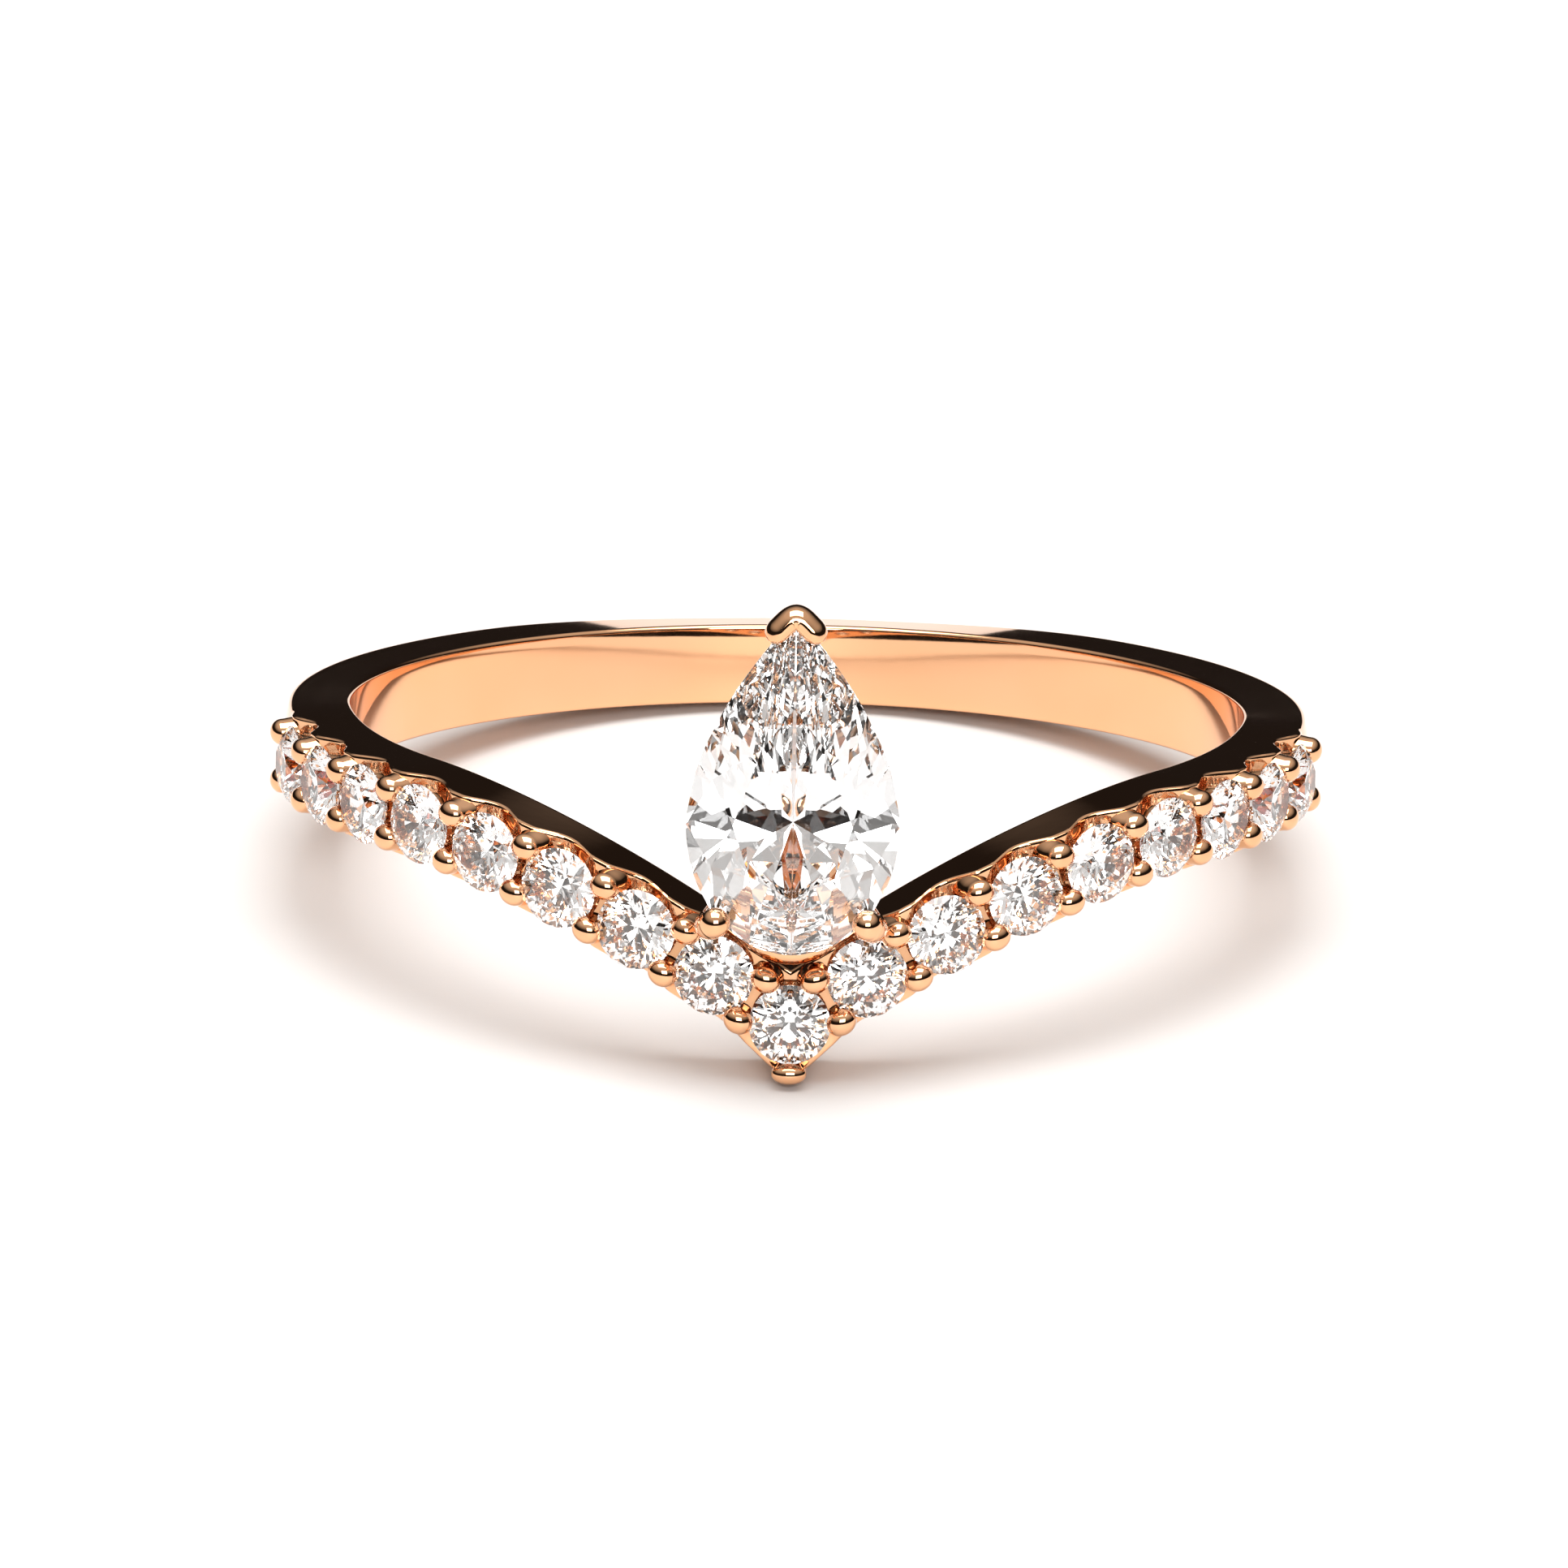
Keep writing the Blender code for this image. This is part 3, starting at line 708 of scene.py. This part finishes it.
def cut_gem(outline, sides, planes, sizes):
    """A stone cut from a rough prism by its facet planes, one after the other."""
    crown, girdle, pavilion = sizes
    bm = bmesh.new()
    low = []
    high = []
    for i in range(sides):
        point = outline(2 * math.pi * i / sides)
        low.append(bm.verts.new((point.x, point.y, -girdle / 2 - pavilion - ROUGH_MARGIN)))
        high.append(bm.verts.new((point.x, point.y, girdle / 2 + crown + ROUGH_MARGIN)))
    bm.faces.new(low)
    bm.faces.new(high)
    for i in range(sides):
        j = (i + 1) % sides
        bm.faces.new((low[i], low[j], high[j], high[i]))
    for place, normal in planes:
        cut = bmesh.ops.bisect_plane(
            bm,
            geom=bm.verts[:] + bm.edges[:] + bm.faces[:],
            dist=CUT_TOLERANCE,
            plane_co=place,
            plane_no=normal,
            clear_outer=True,
        )
        edges = [e for e in cut["geom_cut"] if isinstance(e, bmesh.types.BMEdge)]
        edges = [e for e in edges if e.is_boundary]
        if edges:
            bmesh.ops.contextual_create(bm, geom=edges)
    bmesh.ops.remove_doubles(bm, verts=bm.verts, dist=WELD_DISTANCE)
    bmesh.ops.recalc_face_normals(bm, faces=bm.faces)
    if bm.calc_volume(signed=True) < 0:
        bmesh.ops.reverse_faces(bm, faces=bm.faces)
    return bm


def build_stones():
    """The row's stones, each turned a little further in its seat, and the pear."""
    sizes = (MELEE_CROWN, MELEE_GIRDLE, MELEE_PAVILION)
    centre = Vector((0.0, 0.0))
    planes = brilliant_planes(round_outline, MELEE_TABLE, centre, sizes, MELEE_HALVES)
    pattern = cut_gem(round_outline, MELEE_SIDES, planes, sizes)
    for i in range(-STONES_PER_ARM, STONES_PER_ARM + 1):
        side = "point" if i == 0 else f"{'left' if i < 0 else 'right'}_{abs(i)}"
        bm = pattern.copy()
        turn = Matrix.Rotation(math.radians(MELEE_FIRST_TURN + MELEE_TURN_STEP * i), 4, "Z")
        bm.transform(row_frame(i * PITCH) @ turn)
        add_piece(f"melee_cut_{side}", bm, STONE, [f"melee_{side}"])
    pattern.free()
    sizes = (PEAR_CROWN, PEAR_GIRDLE, PEAR_PAVILION)
    centre = Vector((0.0, PEAR_TABLE_SHIFT))
    planes = brilliant_planes(pear_outline, PEAR_TABLE, centre, sizes, PEAR_HALVES)
    bm = cut_gem(pear_outline, PEAR_SIDES, planes, sizes)
    bm.transform(pear_frame())
    add_piece("pear_cut", bm, STONE, ["pear_centre_stone"])


# Head ------------------------------------------------------------------------------------------


def in_pear(x, y, depth):
    """A ring point from the pear's plane, at a depth below the middle of its girdle."""
    return pear_frame() @ Vector((x, y, -depth))


def add_wire(bm, points, radii, closed):
    """A round wire through points; an open one has flat ends."""
    sections = []
    count = len(points)
    normal = pear_frame().to_3x3() @ Vector((0.0, 0.0, 1.0))
    for i, point in enumerate(points):
        before = points[i - 1] if closed or i else point
        after = points[(i + 1) % count] if closed or i < count - 1 else point
        along = (after - before).normalized()
        reference = normal if abs(along.dot(normal)) < STEEP_TO_STONE else Vector((1.0, 0.0, 0.0))
        side = along.cross(reference).normalized()
        up = side.cross(along)
        ring = []
        for k in range(WIRE_SIDES):
            turn = 2 * math.pi * k / WIRE_SIDES
            ring.append(point + radii[i] * (math.cos(turn) * side + math.sin(turn) * up))
        sections.append(ring)
    add_loft(bm, sections, closed)


def rail(name, half_width, tip, heel, depth, radius):
    points = []
    for i in range(RAIL_POINTS):
        turn = 2 * math.pi * (i + 0.5) / RAIL_POINTS
        flat = pear_outline(turn, half_width, tip, heel)
        points.append(in_pear(flat.x, flat.y, depth))
    bm = bmesh.new()
    add_wire(bm, points, [radius] * RAIL_POINTS, True)
    return add_piece(name + "_fine", bm, GOLD, [name], smooth_angle=SHARP_ON_RAILS)


def gallery_heel():
    """How far the gallery rail drops to lie in the notch of the chevron, touching both arms."""
    slope = centre_slope(0.0)
    notch = centre_height(0.0) + SHANK_WIDTH / 2 * math.hypot(1, slope)
    room = PEAR_SEAT.z - notch
    heel = room
    for _ in range(HEEL_ROUNDS):
        bend = GALLERY_HALF_WIDTH**2 / heel
        heel = room - ((bend + GALLERY_WIRE + SEAT_GAP) * math.hypot(1, slope) - bend)
    return heel


def under_stone(reach):
    """Reach of the seat rail where it just clears the pavilion below a girdle's reach."""
    inside = reach * (1 - (SEAT_RAIL_DEPTH - PEAR_GIRDLE / 2) / PEAR_PAVILION)
    return inside + (SEAT_RAIL_WIRE + SEAT_RAIL_GAP) * math.hypot(1, reach / PEAR_PAVILION)


def smooth_path(points, values, count):
    """A Catmull-Rom curve through points, with values eased along it."""
    path = []
    eased = []
    last = len(points) - 1
    for i in range(count + 1):
        at = i / count * last
        k = min(int(at), last - 1)
        t = at - k
        a, b, c, d = (points[min(max(k + j, 0), last)] for j in (-1, 0, 1, 2))
        square = (2 * a - 5 * b + 4 * c - d) * t**2
        cube = (3 * b - a - 3 * c + d) * t**3
        path.append(0.5 * ((2 * b) + (c - a) * t + square + cube))
        eased.append(values[k] * (1 - t) + values[k + 1] * t)
    return path, eased


def build_round_claw(name, sign):
    """A claw that climbs past the girdle, bends in over the crown and ends in a round cap."""
    edge = Vector((PEAR_HALF_WIDTH * math.cos(CLAW_ANGLE), -PEAR_HEEL * math.sin(CLAW_ANGLE)))
    out = Vector((math.cos(CLAW_ANGLE) / PEAR_HALF_WIDTH, -math.sin(CLAW_ANGLE) / PEAR_HEEL))
    out.normalize()
    points = []
    radii = []
    for offset, depth, swell in CLAW_PATH:
        flat = edge + out * offset
        points.append(in_pear(sign * flat.x, flat.y, depth))
        radii.append(CLAW_RADIUS * swell)
    points, radii = smooth_path(points, radii, CLAW_STEPS)
    heading = (points[-1] - points[-3]).normalized()
    last = points[-1]
    end_radius = radii[-1]
    for i in range(1, CLAW_CAP_STEPS + 1):
        lean = i * CLAW_CAP_STEP
        points.append(last + heading * end_radius * math.sin(lean))
        radii.append(end_radius * math.cos(lean))
    bm = bmesh.new()
    add_wire(bm, points, radii, False)
    return add_piece(name + "_fine", bm, GOLD, [name], smooth_angle=SHARP_ON_CLAWS)


def build_v_claw():
    """The angled cap around the pear's tip, softly rounded, on its post."""
    steep = PEAR_HALF_WIDTH * PEAR_FLARE / PEAR_TIP
    leg = Vector((steep, -1.0)).normalized()
    out = Vector((-leg.y, leg.x))
    sections = []
    for i in range(-V_CLAW_STEPS, V_CLAW_STEPS + 1):
        sign = -1 if i < 0 else 1
        share = abs(i) / V_CLAW_STEPS
        reach = V_CLAW_REACH * share
        near = math.exp(-((reach / V_CLAW_TIP_BLEND) ** 2))
        end = max(0.0, (share - V_CLAW_TAPER_START) / V_CLAW_TAPER_RUN)
        taper = V_CLAW_END + (1 - V_CLAW_END) * math.sqrt(max(0.0, 1 - end**2))
        lower = V_CLAW_END_HEIGHT + (1 - V_CLAW_END_HEIGHT) * taper
        tilt = math.atan2(out.y, out.x)
        tilt += (math.pi / 2 - tilt) * near
        push = Vector((math.cos(tilt), math.sin(tilt)))
        ring = []
        for offset, depth in V_CLAW_SECTION:
            thin = V_CLAW_MIDDLE + (offset - V_CLAW_MIDDLE) * taper
            fall = leg.y * (math.hypot(reach, V_CLAW_ROUND) - V_CLAW_ROUND)
            flat = Vector((leg.x * reach, PEAR_TIP + fall)) + push * thin
            flat.y -= V_CLAW_TIP_DROP * near
            ring.append(in_pear(sign * flat.x, flat.y, depth if depth > 0 else depth * lower))
        sections.append(ring)
    bm = bmesh.new()
    add_loft(bm, sections, closed=False)
    bmesh.ops.recalc_face_normals(bm, faces=bm.faces)
    rail_tip = in_pear(0.0, GALLERY_TIP, GALLERY_DEPTH)
    head = in_pear(0.0, PEAR_TIP + POST_TOP[0], POST_TOP[1])
    foot = rail_tip + (head - rail_tip).normalized() * GALLERY_WIRE * V_CLAW_JOINT
    add_wire(bm, [foot, foot.lerp(head, 0.5), head], [V_CLAW_POST] * 3, False)
    return add_piece("v_claw_fine", bm, GOLD, ["v_claw"], smooth_angle=SHARP_ON_RAILS)


def build_head():
    rail(
        "gallery_rail",
        GALLERY_HALF_WIDTH,
        GALLERY_TIP,
        gallery_heel(),
        GALLERY_DEPTH,
        GALLERY_WIRE,
    )
    rail(
        "seat_rail",
        under_stone(PEAR_HALF_WIDTH),
        under_stone(PEAR_TIP),
        under_stone(PEAR_HEEL),
        SEAT_RAIL_DEPTH,
        SEAT_RAIL_WIRE,
    )
    build_round_claw("claw_left", -1)
    build_round_claw("claw_right", 1)
    build_v_claw()


# Studio ----------------------------------------------------------------------------------------


def build_floor():
    bm = bmesh.new()
    corners = [
        (-FLOOR_REACH, -FLOOR_REACH),
        (FLOOR_REACH, -FLOOR_REACH),
        (FLOOR_REACH, FLOOR_BACK_EDGE),
        (-FLOOR_REACH, FLOOR_BACK_EDGE),
    ]
    bm.faces.new([bm.verts.new((x, y, 0.0)) for x, y in corners])
    mesh = bpy.data.meshes.new("floor")
    bm.to_mesh(mesh)
    bm.free()
    mesh.materials.append(pale_floor())
    floor = bpy.data.objects.new("floor", mesh)
    bpy.context.scene.collection.objects.link(floor)


def add_softbox(name, place, size, power):
    """A white rectangular light that faces the ring."""
    light = bpy.data.lights.new(name, "AREA")
    light.shape = "RECTANGLE"
    light.size, light.size_y = size
    light.energy = power
    lamp = bpy.data.objects.new(name, light)
    bpy.context.scene.collection.objects.link(lamp)
    lamp.location = place
    lamp.rotation_euler = (-Vector(place)).to_track_quat("-Z", "Y").to_euler()


def build_world():
    """A dark room at the horizon that lightens a little overhead."""
    world = bpy.data.worlds.new("studio")
    bpy.context.scene.world = world
    world.use_nodes = True
    tree = world.node_tree
    place = tree.nodes.new("ShaderNodeTexCoord")
    split = tree.nodes.new("ShaderNodeSeparateXYZ")
    ramp = tree.nodes.new("ShaderNodeValToRGB")
    ramp.color_ramp.elements[0].position = DARK_BELOW
    ramp.color_ramp.elements[0].color = (0.015, 0.013, 0.012, 1.0)
    ramp.color_ramp.elements[1].position = LIGHT_ABOVE
    ramp.color_ramp.elements[1].color = (0.66, 0.64, 0.62, 1.0)
    tree.links.new(place.outputs["Generated"], split.inputs["Vector"])
    tree.links.new(split.outputs["Z"], ramp.inputs["Fac"])
    tree.links.new(ramp.outputs["Color"], tree.nodes["Background"].inputs["Color"])


def build_lights():
    add_softbox("overhead_softbox", place=(0.0, -0.02, 0.35), size=(0.34, 0.30), power=1.36)
    add_softbox("front_softbox", place=(0.04, -0.32, 0.17), size=(0.22, 0.14), power=0.55)


def build_camera():
    """A long lens from the front, 13 degrees above the ring's own plane."""
    elevation = math.radians(13.27)
    azimuth = math.radians(0.21)
    roll = math.radians(0.98)
    distance = 237.43
    back = Vector(
        (
            math.sin(azimuth) * math.cos(elevation),
            -math.cos(azimuth) * math.cos(elevation),
            math.sin(elevation),
        )
    )
    right = Vector((0.0, 0.0, 1.0)).cross(back).normalized()
    up = back.cross(right)
    tilted_right = math.cos(roll) * right + math.sin(roll) * up
    tilted_up = -math.sin(roll) * right + math.cos(roll) * up
    lens = bpy.data.cameras.new("camera")
    lens.sensor_width = 36.0
    lens.lens = 279.5
    lens.clip_start = 0.01
    lens.clip_end = 10.0
    lens.shift_x = -0.00768
    lens.shift_y = -0.01311
    camera = bpy.data.objects.new("camera", lens)
    bpy.context.scene.collection.objects.link(camera)
    turn = RING.to_3x3().normalized() @ Matrix((tilted_right, tilted_up, back)).transposed()
    camera.matrix_world = Matrix.Translation(RING @ (back * distance)) @ turn.to_4x4()
    bpy.context.scene.camera = camera


def set_up_scene():
    scene = bpy.context.scene
    scene.view_settings.view_transform = "Standard"
    scene.cycles.max_bounces = LIGHT_BOUNCES
    scene.cycles.glossy_bounces = LIGHT_BOUNCES
    scene.cycles.transmission_bounces = LIGHT_BOUNCES
    scene.cycles.sample_clamp_indirect = BRIGHTEST_BOUNCE


build_shank()
build_stones()
build_head()
build_floor()
build_world()
build_lights()
build_camera()
set_up_scene()
